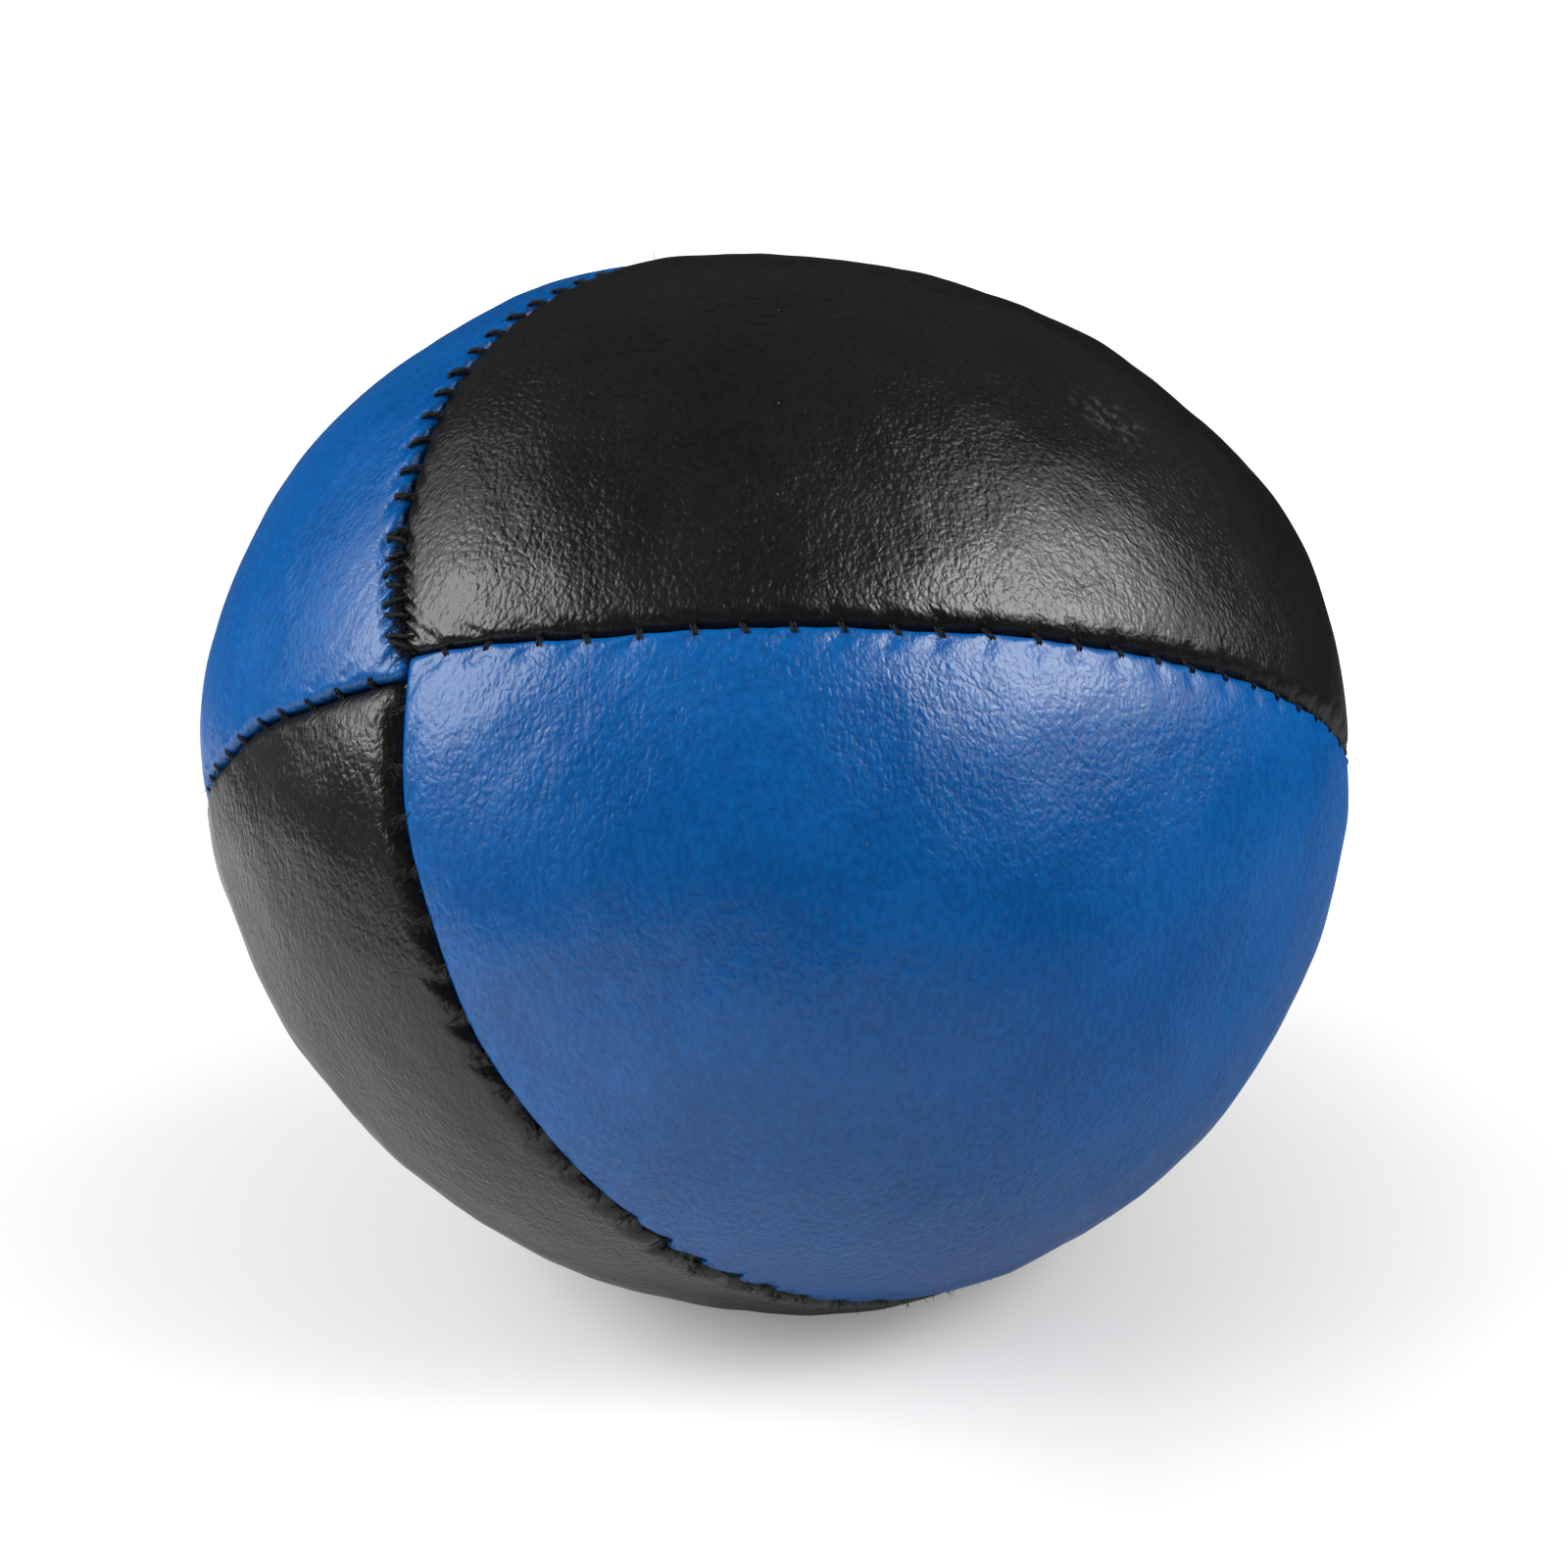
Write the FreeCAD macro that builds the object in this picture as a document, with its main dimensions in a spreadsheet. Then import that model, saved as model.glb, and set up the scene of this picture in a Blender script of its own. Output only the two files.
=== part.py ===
import FreeCAD, Part
import math
import os

# A sewn four-panel leather juggling ball with a millet filling, resting on a flat patch at Z = 0.
# The panels are lunes, like orange peel, that run between two poles. Each panel turns inward at
# its seams, and the turned-in flanges of two neighbours lie face to face and are stitched.
# Millimetres and degrees. +Z is up and -Y is the front.

DIMENSIONS = [
    ("polar_radius", 34.8),
    ("girth_radius", 31.4),
    ("centre_height", 30.3),
    ("pole_heading", 216.7),
    ("pole_tilt", 22.1),
    ("pole_offset", 7.6),
    ("right_seam", 3.6),
    ("upper_seam", 102.1),
    ("left_seam", 185.9),
    ("lower_seam", 261.9),
    ("leather", 1.0),
    ("edge_roll", 1.6),
    ("flange_depth", 5.0),
    ("stitch_depth", 1.75),
    ("stitch_pitch", 2.5),
    ("thread_radius", 0.2),
    ("run_width", 0.5),
    ("run_height", 0.35),
    ("hole_clearance", 0.01),
    ("thread_end_gap", 4.0),
    ("closing_gap_end", 26.0),
    ("closing_stitch_pitch", 1.4),
    ("closing_stitch_count", 6),
    ("closing_stitch_radius", 1.2),
    ("closing_stitch_depth", 1.1),
    ("closing_thread_radius", 0.25),
    ("fill_gap", 0.5),
    ("cutter_size", 90.0),
]
DIM = dict(DIMENSIONS)

doc = FreeCAD.newDocument("juggling_ball")
sheet = doc.addObject("Spreadsheet::Sheet", "dims")
for row, (alias, value) in enumerate(DIMENSIONS, start=1):
    sheet.set("A%d" % row, alias)
    sheet.set("B%d" % row, str(value))
    sheet.setAlias("B%d" % row, alias)
doc.recompute()

# The pole frame: local Z runs along the long axis, to the front pole, local X is the seam plane
# that lies nearest to level, and seam angles turn about local Z from local X.
heading = math.radians(DIM["pole_heading"])
tilt = math.radians(DIM["pole_tilt"])
LONG_AXIS = FreeCAD.Vector(
    math.cos(tilt) * math.cos(heading), math.cos(tilt) * math.sin(heading), math.sin(tilt)
)
POLE_TURN = FreeCAD.Rotation(FreeCAD.Vector(1, 0, 0), FreeCAD.Vector(0, 1, 0), LONG_AXIS, "ZXY")
CENTRE = FreeCAD.Vector(0, 0, DIM["centre_height"])
LOCAL_Z = FreeCAD.Vector(0, 0, 1)

SEAM_ANGLES = {name: DIM[name] for name in ("right_seam", "upper_seam", "left_seam", "lower_seam")}
# panel label: the seam where it starts and the seam where it ends, counter-clockwise
PANELS = {
    "black_top_panel": ("right_seam", "upper_seam"),
    "blue_side_panel": ("upper_seam", "left_seam"),
    "black_side_panel": ("left_seam", "lower_seam"),
    "blue_front_panel": ("lower_seam", "right_seam"),
}


def bind(feature, **expressions):
    """Drive properties of a feature from the spreadsheet."""
    for name, expression in expressions.items():
        feature.setExpression(name, expression)
    return feature


def from_pole_frame(x, y, z):
    """A point of the pole frame, whose origin is the ball's centre, in the part's frame."""
    return CENTRE + POLE_TURN.multVec(FreeCAD.Vector(x, y, z))


def seam_turn(angle):
    """Local X along a seam's half-plane, local Y along its normal, local Z along the long axis."""
    return POLE_TURN * FreeCAD.Rotation(LOCAL_Z, angle)


def seam_point(angle, polar_angle, depth):
    """A point of a seam, at a depth below the leather's outer surface."""
    polar = DIM["polar_radius"] - depth
    girth = DIM["girth_radius"] - depth
    along = polar * math.cos(polar_angle)
    ring = girth * math.sin(polar_angle)
    side = DIM["pole_offset"] * math.sin(math.radians(angle))
    reach = math.sqrt(max(ring**2 - side**2, 0.0))
    reach = reach - DIM["pole_offset"] * math.cos(math.radians(angle))
    x = DIM["pole_offset"] + reach * math.cos(math.radians(angle))
    y = reach * math.sin(math.radians(angle))
    return from_pole_frame(x, y, along), reach, along


def spheroid(name, depth):
    """The ball's rounded outline, taken in by a depth that is a spreadsheet expression."""
    ball = doc.addObject("Part::Ellipsoid", name)
    girth = "dims.girth_radius - (%s)" % depth
    polar = "dims.polar_radius - (%s)" % depth
    bind(ball, Radius1=girth, Radius2=polar, Radius3=girth)
    # its own poles face the middles of two panels, so that no seam runs through them
    middle = (DIM["right_seam"] + DIM["upper_seam"]) / 2
    across = FreeCAD.Rotation(FreeCAD.Vector(0, 1, 0), 90)
    turn = POLE_TURN * FreeCAD.Rotation(LOCAL_Z, middle) * across
    ball.Placement = FreeCAD.Placement(CENTRE, turn)
    return ball


def block_below(name, height):
    """Everything below a level, used to flatten the side that the ball rests on."""
    block = doc.addObject("Part::Box", name)
    bind(block, Length="dims.cutter_size", Width="dims.cutter_size", Height="dims.cutter_size")
    size = DIM["cutter_size"]
    corner = FreeCAD.Vector(-size / 2, -size / 2, height - size)
    block.Placement = FreeCAD.Placement(corner, FreeCAD.Rotation())
    return block


def boolean(kind, name, base, tool):
    result = doc.addObject("Part::" + kind, name)
    result.Base = base
    result.Tool = tool
    return result


def joined(name, shapes):
    result = doc.addObject("Part::MultiFuse", name)
    result.Shapes = shapes
    return result


def grouped(name, links):
    result = doc.addObject("Part::Compound", name)
    result.Links = links
    return result


def sector(name, first_seam, last_seam, inset):
    """The wedge between two seam planes, moved in from both of them by inset."""
    start = SEAM_ANGLES[first_seam]
    opening = (SEAM_ANGLES[last_seam] - start) % 360
    wedge = doc.addObject("Part::Cylinder", name)
    sweep = "dims.%s - dims.%s" % (last_seam, first_seam)
    if SEAM_ANGLES[last_seam] < start:
        sweep = "360 + " + sweep
    bind(wedge, Radius="dims.cutter_size", Height="dims.cutter_size", Angle=sweep)
    shift = inset / math.sin(math.radians(opening / 2))
    bisector = math.radians(start + opening / 2)
    apex = from_pole_frame(
        DIM["pole_offset"] + shift * math.cos(bisector),
        shift * math.sin(bisector),
        -DIM["cutter_size"] / 2,
    )
    wedge.Placement = FreeCAD.Placement(apex, seam_turn(start))
    return wedge


def seam_edges(shape):
    """Numbers of the curved edges where a panel's face meets its two seam planes."""
    planes = [face for face in shape.Faces if isinstance(face.Surface, Part.Plane)]
    numbers = []
    for number, edge in enumerate(shape.Edges, start=1):
        straight = (edge.Vertexes[0].Point - edge.Vertexes[-1].Point).Length
        curved = edge.Length > straight + 0.05
        if curved and any(other.isSame(edge) for face in planes for other in face.Edges):
            numbers.append(number)
    return numbers


def rod(name, base, turn, radius, height):
    """A round rod along the local Y of a seam's frame."""
    cylinder = doc.addObject("Part::Cylinder", name)
    bind(cylinder, Radius=radius, Height=height)
    along_normal = FreeCAD.Rotation(FreeCAD.Vector(1, 0, 0), -90)
    cylinder.Placement = FreeCAD.Placement(base, turn * along_normal)
    return cylinder


def stitch_angles(seam):
    """Polar angles one stitch apart along a seam, clear of the poles and of the hand-closed gap."""
    angle = SEAM_ANGLES[seam]
    step = math.radians(0.05)
    polar_angle = 0.0
    last = None
    found = []
    while polar_angle < math.pi:
        point, reach, along = seam_point(angle, polar_angle, DIM["stitch_depth"])
        clear = reach > DIM["thread_end_gap"]
        sewn = seam != "upper_seam" or along < DIM["closing_gap_end"]
        if clear and sewn and (last is None or (point - last).Length >= DIM["stitch_pitch"]):
            found.append(polar_angle)
            last = point
        polar_angle += step
    return found


def stitch_points(seam, depth):
    """The stitches of a seam at a depth below the leather's outer surface."""
    angle = SEAM_ANGLES[seam]
    return [seam_point(angle, polar_angle, depth)[0] for polar_angle in stitch_angles(seam)]


def thread(seam, side, name):
    """One thread of a seam: a flattened run along one flange, and a leg into each stitch hole."""
    turn = seam_turn(SEAM_ANGLES[seam])
    if side < 0:
        turn = turn * FreeCAD.Rotation(LOCAL_Z, 180)
    normal = turn.multVec(FreeCAD.Vector(0, 1, 0))
    top = stitch_points(seam, DIM["stitch_depth"] - DIM["run_width"] / 2)
    bottom = stitch_points(seam, DIM["stitch_depth"] + DIM["run_width"] / 2)
    outline = doc.addObject("Part::Polygon", name + "_outline")
    outline.Nodes = [point + normal * DIM["leather"] for point in top + bottom[::-1]]
    outline.Close = True
    run = doc.addObject("Part::Extrusion", name + "_run")
    run.Base = outline
    run.DirMode = "Custom"
    run.Dir = normal
    run.Solid = True
    bind(run, LengthFwd="dims.run_height")
    # the first and the last hole lie at the run's ends, so they get no leg
    pieces = [run]
    length = "dims.leather + dims.run_height / 2"
    for number, point in enumerate(stitch_points(seam, DIM["stitch_depth"])[1:-1], start=1):
        pieces.append(rod("%s_leg_%d" % (name, number), point, turn, "dims.thread_radius", length))
    return joined(name, pieces)


def stitch_holes(seam):
    """The needle holes through both flanges of a seam."""
    turn = seam_turn(SEAM_ANGLES[seam])
    start = turn.multVec(FreeCAD.Vector(0, -DIM["leather"] - DIM["fill_gap"], 0))
    height = "2 * (dims.leather + dims.fill_gap)"
    holes = []
    for number, point in enumerate(stitch_points(seam, DIM["stitch_depth"])[1:-1], start=1):
        hole_name = "%s_hole_%d" % (seam, number)
        radius = "dims.thread_radius + dims.hole_clearance"
        holes.append(rod(hole_name, point + start, turn, radius, height))
    return grouped(seam + "_holes", holes)


def closing_rings(name, clearance):
    """Whip stitches that close the last gap of the upper seam by hand, beside the front pole."""
    angle = SEAM_ANGLES["upper_seam"]
    rings = []
    for number in range(int(DIM["closing_stitch_count"])):
        distance = DIM["thread_end_gap"] / 2 + number * DIM["closing_stitch_pitch"]
        polar_angle = pole_angle_at(angle, distance)
        centre = seam_point(angle, polar_angle, DIM["closing_stitch_depth"])[0]
        ahead = seam_point(angle, polar_angle + 0.01, DIM["closing_stitch_depth"])[0]
        ring = doc.addObject("Part::Torus", "%s_%d" % (name, number + 1))
        bind(ring, Radius1="dims.closing_stitch_radius")
        bind(ring, Radius2="dims.closing_thread_radius + " + clearance)
        ring.Placement = FreeCAD.Placement(centre, FreeCAD.Rotation(LOCAL_Z, ahead - centre))
        rings.append(ring)
    return rings


def pole_angle_at(angle, distance):
    """The polar angle of the seam point that lies a distance along the seam from the front pole."""
    step = math.radians(0.05)
    polar_angle = math.asin(DIM["pole_offset"] / DIM["girth_radius"])
    travelled = 0.0
    previous = seam_point(angle, polar_angle, 0)[0]
    while travelled < distance:
        polar_angle += step
        point = seam_point(angle, polar_angle, 0)[0]
        travelled += (point - previous).Length
        previous = point
    return polar_angle


# Shared outlines: the leather's outer and inner faces, the end of the flanges, and the floor.
outer = spheroid("outer_outline", "0")
inner = spheroid("inner_outline", "dims.leather")
core = spheroid("flange_end_outline", "dims.flange_depth")
floor = block_below("floor_block", 0)
cavity_floor = block_below("cavity_floor_block", DIM["leather"])
cavity = boolean("Cut", "cavity_outline", inner, cavity_floor)
holes = {seam: stitch_holes(seam) for seam in SEAM_ANGLES}
closing_holes = closing_rings("closing_hole", "dims.hole_clearance")

# The four leather panels.
panels = []
for label, (first_seam, last_seam) in PANELS.items():
    wedge = sector(label + "_sector", first_seam, last_seam, 0)
    lune = boolean("Common", label + "_lune", outer, wedge)
    doc.recompute()
    rolled = doc.addObject("Part::Fillet", label + "_rolled_edges")
    rolled.Base = lune
    rolled.Edges = [(number, DIM["edge_roll"], DIM["edge_roll"]) for number in seam_edges(lune.Shape)]
    pocket_sector = sector(label + "_pocket_sector", first_seam, last_seam, DIM["leather"])
    pocket = boolean("Common", label + "_pocket", cavity, pocket_sector)
    shell = boolean("Cut", label + "_shell", rolled, pocket)
    trimmed = boolean("Cut", label + "_trimmed", shell, core)
    rested = boolean("Cut", label + "_rested", trimmed, floor)
    cutters = [holes[first_seam], holes[last_seam]]
    if "upper_seam" in (first_seam, last_seam):
        cutters.append(grouped(label + "_closing_holes", closing_holes))
    stage = rested
    for number, cutter in enumerate(cutters, start=1):
        stage = boolean("Cut", "%s_pierced_%d" % (label, number), stage, cutter)
    stage.Label = label
    panels.append(stage)

# The lockstitch threads: the needle thread lies on one flange of each seam, and the bobbin thread
# on the other.
threads = []
for kind, side in (("needle", 1), ("bobbin", -1)):
    for place in ("right", "left"):
        threads.append(thread(place + "_seam", side, "%s_seam_%s_thread" % (place, kind)))
    halves = []
    for place in ("upper", "lower"):
        halves.append(thread(place + "_seam", side, "%s_seam_%s_thread" % (place, kind)))
    threads.append(grouped("closing_loop_%s_thread" % kind, halves))
threads.append(grouped("hand_closing_thread", closing_rings("closing_stitch", "0")))

# The millet: one lump inside the flanges, with a lobe into each panel's pocket.
fill_floor = block_below("fill_floor_block", DIM["leather"] + DIM["fill_gap"])
fill_top = spheroid("fill_outline", "dims.leather + dims.fill_gap")
fill_space = boolean("Cut", "fill_space", fill_top, fill_floor)
lumps = [spheroid("fill_core", "dims.flange_depth + dims.fill_gap")]
for label, (first_seam, last_seam) in PANELS.items():
    inset = DIM["leather"] + DIM["fill_gap"]
    lobe_sector = sector(label + "_fill_sector", first_seam, last_seam, inset)
    lumps.append(boolean("Common", label + "_fill_lobe", fill_space, lobe_sector))
fill = joined("millet_fill", lumps)

doc.recompute()
for item in doc.Objects:
    if "Invalid" in item.State or "Error" in item.State:
        raise RuntimeError("feature failed: " + item.Label)

os.makedirs("parts", exist_ok=True)
for item in panels + threads + [fill]:
    if item.Shape.isNull() or not item.Shape.isValid():
        raise RuntimeError("bad shape: " + item.Label)
    item.Shape.exportStep("parts/%s.step" % item.Label)
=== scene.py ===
"""The looks of a sewn four-panel leather juggling ball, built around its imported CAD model.

Lengths are worked out in millimetres and turned into metres when a mesh is made. The pole frame is
the CAD model's: local Z runs along the ball's long axis to the front pole, and seam angles turn
about it from local X, which is the world's X made square to that axis.
"""

import math

import bmesh
import bpy
import numpy as np
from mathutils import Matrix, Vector
from mathutils.kdtree import KDTree


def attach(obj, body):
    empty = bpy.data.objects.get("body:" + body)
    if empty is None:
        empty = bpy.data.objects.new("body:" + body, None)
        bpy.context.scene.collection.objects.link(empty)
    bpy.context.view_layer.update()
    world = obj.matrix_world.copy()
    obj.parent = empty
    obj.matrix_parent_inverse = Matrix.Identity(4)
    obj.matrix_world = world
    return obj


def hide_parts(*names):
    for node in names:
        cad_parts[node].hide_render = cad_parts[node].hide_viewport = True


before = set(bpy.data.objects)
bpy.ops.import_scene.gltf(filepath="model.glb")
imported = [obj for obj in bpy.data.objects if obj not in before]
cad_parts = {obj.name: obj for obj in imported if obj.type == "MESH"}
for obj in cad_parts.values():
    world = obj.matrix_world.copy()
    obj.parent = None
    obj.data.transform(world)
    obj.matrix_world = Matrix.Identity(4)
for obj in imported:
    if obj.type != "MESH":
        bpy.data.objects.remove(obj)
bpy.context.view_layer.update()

MM = 0.001

# The ball, as in the CAD model. PEAR makes the top a little flatter and the bottom fuller.
POLAR_RADIUS = 34.8
GIRTH_RADIUS = 31.4
PEAR = -0.027
# Where the filling presses outward, or leaves the leather slack: direction, height and spread.
BULGES = [
    ((0.94, 0.13, 0.32), 0.5, 0.3),
    ((0.42, 0.34, 0.84), -0.25, 0.4),
    ((-0.99, 0.04, 0.09), 0.3, 0.32),
    ((-0.50, -0.33, -0.80), -0.3, 0.3),
    ((0.03, -0.37, -0.93), -0.5, 0.4),
]
CENTRE = np.array([0.0, 0.0, 30.3])
POLE_HEADING = math.radians(216.7)
POLE_TILT = math.radians(22.1)
POLE_OFFSET = 7.6
SEAM_ANGLES = {"right": 3.6, "upper": 102.1, "left": 185.9, "lower": 261.9}

# Leather and sewing.
LEATHER = 1.0
FLANGE_DEPTH = 4.6
EDGE_GAP = 0.04
PITCH = {"right": 2.75, "upper": 2.15, "left": 2.6, "lower": 2.85}
HAND_PITCH = 0.95
HAND_ZONE = 7.6
POLE_MISMATCH = 0.55
FIRST_STITCH = {"upper": HAND_ZONE + 0.8, "lower": 2.4, "right": 2.6, "left": 2.2}
# Underneath, the blue leather hangs over the lower seam: the height of its teeth and where they
# begin and end along the seam, and the sag, where it begins and how far on it is full.
OVERHANG = 1.8
OVERHANG_FROM = 35.0
OVERHANG_TO = 66.0
SAG = 0.8
SAG_FROM = 36.0
SAG_FULL_AFTER = 18.0
STRAND_RADIUS = {"right": 0.08, "left": 0.065, "upper": 0.1, "lower": 0.1}
HAND_STRAND_RADIUS = 0.13
SEED_SPACING = 1.9

# Mesh density along and across a panel. The columns are finest over the rolled edge, and finer
# near it than inside.
ROW_STEP = 0.27
COLUMN_STEP = 0.33
ROLL_COLUMNS = 8
ROLL_ZONE = 1.3
NEAR_ZONE = 3.6
NEAR_STEP = 0.2
END_MARGIN = 0.4


def unit(v):
    return v / np.linalg.norm(v, axis=-1, keepdims=True)


LONG_AXIS = np.array([
    math.cos(POLE_TILT) * math.cos(POLE_HEADING),
    math.cos(POLE_TILT) * math.sin(POLE_HEADING),
    math.sin(POLE_TILT),
])
LEVEL_SIDE = unit(np.array([1.0, 0.0, 0.0]) - LONG_AXIS * LONG_AXIS[0])
UPPER_SIDE = np.cross(LONG_AXIS, LEVEL_SIDE)


# ---------------------------------------------------------------- shape of the ball

def ball_radius(direction):
    """Distance from the centre to the leather's outer surface, before seams and creases."""
    along = direction @ LONG_AXIS
    up = direction[..., 2]
    spheroid = 1 / np.sqrt(along**2 / POLAR_RADIUS**2 + (1 - along**2) / GIRTH_RADIUS**2)
    radius = spheroid * (1 + PEAR * (2.5 * up**3 - 1.5 * up))
    for towards, height, spread in BULGES:
        apart = np.linalg.norm(direction - unit(np.array(towards)), axis=-1)
        radius = radius + height * np.exp(-((apart / spread) ** 2))
    return radius


def on_ball(direction, depth=0.0):
    """A point on the ball, relative to its centre, at a depth below the outer surface."""
    direction = unit(direction)
    return direction * (ball_radius(direction) - depth)[..., None]


def ripple(points, wavelength, seed):
    """Smooth random relief from -1 to 1, about wavelength apart, on points relative to the centre."""
    chance = np.random.default_rng(seed)
    total = np.zeros(points.shape[:-1])
    waves = 14
    for _ in range(waves):
        heading = unit(chance.normal(size=3))
        length = wavelength * chance.uniform(0.75, 1.5)
        total += np.cos(points @ heading * (2 * math.pi / length) + chance.uniform(0, 2 * math.pi))
    return total / math.sqrt(waves) / 1.4


def wobble(position, wavelength, seed):
    """Smooth random variation from -1 to 1 along a line."""
    chance = np.random.default_rng(seed)
    total = np.zeros_like(position)
    waves = 9
    for _ in range(waves):
        length = wavelength * chance.uniform(0.6, 1.6)
        total += np.cos(position * (2 * math.pi / length) + chance.uniform(0, 2 * math.pi))
    return total / math.sqrt(waves) / 1.4


# ---------------------------------------------------------------- seams

class Line:
    """A line on the ball that can be read at any distance from its start."""

    def __init__(self, points):
        self.points = points
        steps = np.linalg.norm(np.diff(points, axis=0), axis=1)
        self.distance = np.concatenate([[0.0], np.cumsum(steps)])
        self.length = self.distance[-1]

    def at(self, distance):
        axes = [np.interp(distance, self.distance, values) for values in self.points.T]
        return np.stack(axes, axis=-1)

    def tangent(self, distance):
        return unit(self.at(np.asarray(distance) + 0.3) - self.at(np.asarray(distance) - 0.3))


def overhang(distance):
    """How far the blue leather bulges over the lower seam, as a share of OVERHANG.

    Underneath it comes out after each stitch and draws back to the next, like the teeth of a saw.
    """
    stitch = (distance - FIRST_STITCH["lower"]) / PITCH["lower"]
    phase = stitch % 1.0
    begins = np.clip((distance - OVERHANG_FROM) / 4.0, 0, 1)
    ends = np.clip((OVERHANG_TO - distance) / 6.0, 0, 1)
    tooth = (1 - phase) * (1 - np.exp(-phase / 0.08)) - 0.42
    sizes = np.random.default_rng(5).uniform(0.55, 1.0, 60)
    size = sizes[np.clip(stitch, 0, len(sizes) - 1).astype(int)]
    return tooth * size * begins * ends


def seam_line(name, angle, seed):
    """The line where a half-plane through the pole line meets the ball, with a sewer's small wobble."""
    angle = math.radians(angle)
    away = LEVEL_SIDE * math.cos(angle) + UPPER_SIDE * math.sin(angle)
    start = LEVEL_SIDE * POLE_OFFSET
    turn = np.linspace(0.0, math.pi, 1500)[:, None]
    ray = np.cos(turn) * LONG_AXIS + np.sin(turn) * away
    reach = np.full(len(ray), GIRTH_RADIUS)
    for _ in range(60):
        point = start + ray * reach[:, None]
        size = np.linalg.norm(point, axis=1)
        reach += ball_radius(point / size[:, None]) - size
    point = start + ray * reach[:, None]
    line = Line(point)
    sideways = unit(np.cross(line.tangent(line.distance), unit(point)))
    fade = np.clip(np.minimum(line.distance, line.length - line.distance) / 8.0, 0, 1)
    offset = 0.12 * wobble(line.distance, 14.0, seed) * fade
    if name == "lower":
        sag = SAG * np.clip((line.distance - SAG_FROM) / SAG_FULL_AFTER, 0, 1) * fade
        offset = offset + OVERHANG * overhang(line.distance) + sag
    return Line(on_ball(point + sideways * offset[:, None]))


seams = {}
for seed, (name, angle) in enumerate(SEAM_ANGLES.items(), 20):
    seams[name] = seam_line(name, angle, seed)

# The loop over both poles is one line: distances on it are positive along the upper seam, and
# negative along the lower one. The two level seams meet it a little apart at the front pole.
loop_points = np.concatenate([seams["lower"].points[:0:-1], seams["upper"].points])
loop = Line(loop_points)
LOOP_POLE = seams["lower"].length


def loop_at(distance):
    return loop.at(LOOP_POLE + np.asarray(distance))


def shifted_to(line, target):
    """A level seam whose front end is moved to where it really meets the loop."""
    shift = target - line.points[0]
    fade = np.exp(-((line.distance / 7.0) ** 2))
    return Line(on_ball(line.points + shift * fade[:, None]))


seams["right"] = shifted_to(seams["right"], loop_at(POLE_MISMATCH))
seams["left"] = shifted_to(seams["left"], loop_at(-POLE_MISMATCH))


def seam_point(name, distance):
    """A point of a seam at a distance from the front pole, and the direction along the seam."""
    if name == "upper":
        return loop_at(distance), loop.tangent(LOOP_POLE + np.asarray(distance))
    if name == "lower":
        return loop_at(-np.asarray(distance)), -loop.tangent(LOOP_POLE - np.asarray(distance))
    return seams[name].at(distance), seams[name].tangent(distance)


def stitch_places(name):
    """Distances of a seam's machine stitches from the front pole."""
    start = FIRST_STITCH[name]
    count = int((seams[name].length - 3.0 - start) / PITCH[name])
    chance = np.random.default_rng(len(name) * 31 + ord(name[0]))
    return start + np.arange(count) * PITCH[name] + chance.normal(0, 0.1, count)


STITCHES = {name: stitch_places(name) for name in SEAM_ANGLES}
HAND_COUNT = 8
HAND_STITCHES = 0.7 + np.arange(HAND_COUNT) * HAND_PITCH
HAND_STITCHES = HAND_STITCHES + np.random.default_rng(3).normal(0, 0.08, HAND_COUNT)


# The relief that the filling presses into the leather: height, wavelength and random seed.
RELIEF = [(0.16, 13.0, 41), (0.05, 5.0, 42), (0.018, 2.2, 43)]


def pull(places, distance, width):
    """How strongly stitches pull at a distance along a seam: 1 at a stitch, 0 away from all."""
    gap = np.abs(distance[:, None] - places[None, :]).min(axis=1)
    return np.exp(-((gap / width) ** 2))


# How each panel's edge rolls in at its seams: the roll's radius, the share of it by which the roll
# changes between stitches and at them, and its unevenness.
EDGES = {
    ("right", "black_top_panel"): (1.15, 0.08, 0.05),
    ("right", "blue_front_panel"): (0.34, 0.9, 0.10),
    ("upper", "black_top_panel"): (1.1, 0.20, 0.10),
    ("upper", "blue_side_panel"): (0.75, -0.80, 0.12),
    ("left", "blue_side_panel"): (0.75, 0.30, 0.06),
    ("left", "black_side_panel"): (1.1, 0.15, 0.06),
    ("lower", "black_side_panel"): (1.6, 0.45, 0.12),
    ("lower", "blue_front_panel"): (0.7, 0.12, 0.06),
}


# For each seam: the panel whose edge the stitches climb over, the side of the seam it is on, how
# far from the seam they go in, and how deeply the leather beside the seam is dented by them.
CLIMBED = {
    "right": ("blue_front_panel", -1, 0.36, 0.10),
    "upper": ("blue_side_panel", 1, 0.8, 0.20),
    "left": ("blue_side_panel", -1, 0.42, 0.08),
    "lower": ("black_side_panel", -1, 0.9, 0.08),
}


def edge_roll(seam, panel, distance):
    """The radius over which a panel's edge rolls into a seam, at distances from the front pole."""
    radius, scallop, uneven = EDGES[(seam, panel)]
    grip = pull(STITCHES[seam], distance, PITCH[seam] * 0.32)
    roll = radius * (1 + scallop * (0.5 - grip))
    if (seam, panel) == ("right", "black_top_panel"):
        # this edge rolls in more tightly towards the front pole
        roll = roll * (0.5 + 0.5 * np.clip(distance / 14.0, 0, 1))
    if seam == "upper":
        by_hand = np.clip((HAND_ZONE + 0.6 - distance) / 1.2, 0, 1)
        teeth = pull(HAND_STITCHES, distance, HAND_PITCH * 0.33)
        drawn = 1.1 if panel == "blue_side_panel" else 0.4
        roll = roll * (1 - by_hand) + by_hand * radius * (0.6 + drawn * teeth)
    return roll * (1 + uneven * wobble(distance, 3.0, len(seam) * 7 + len(panel)))


# ---------------------------------------------------------------- meshes

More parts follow.
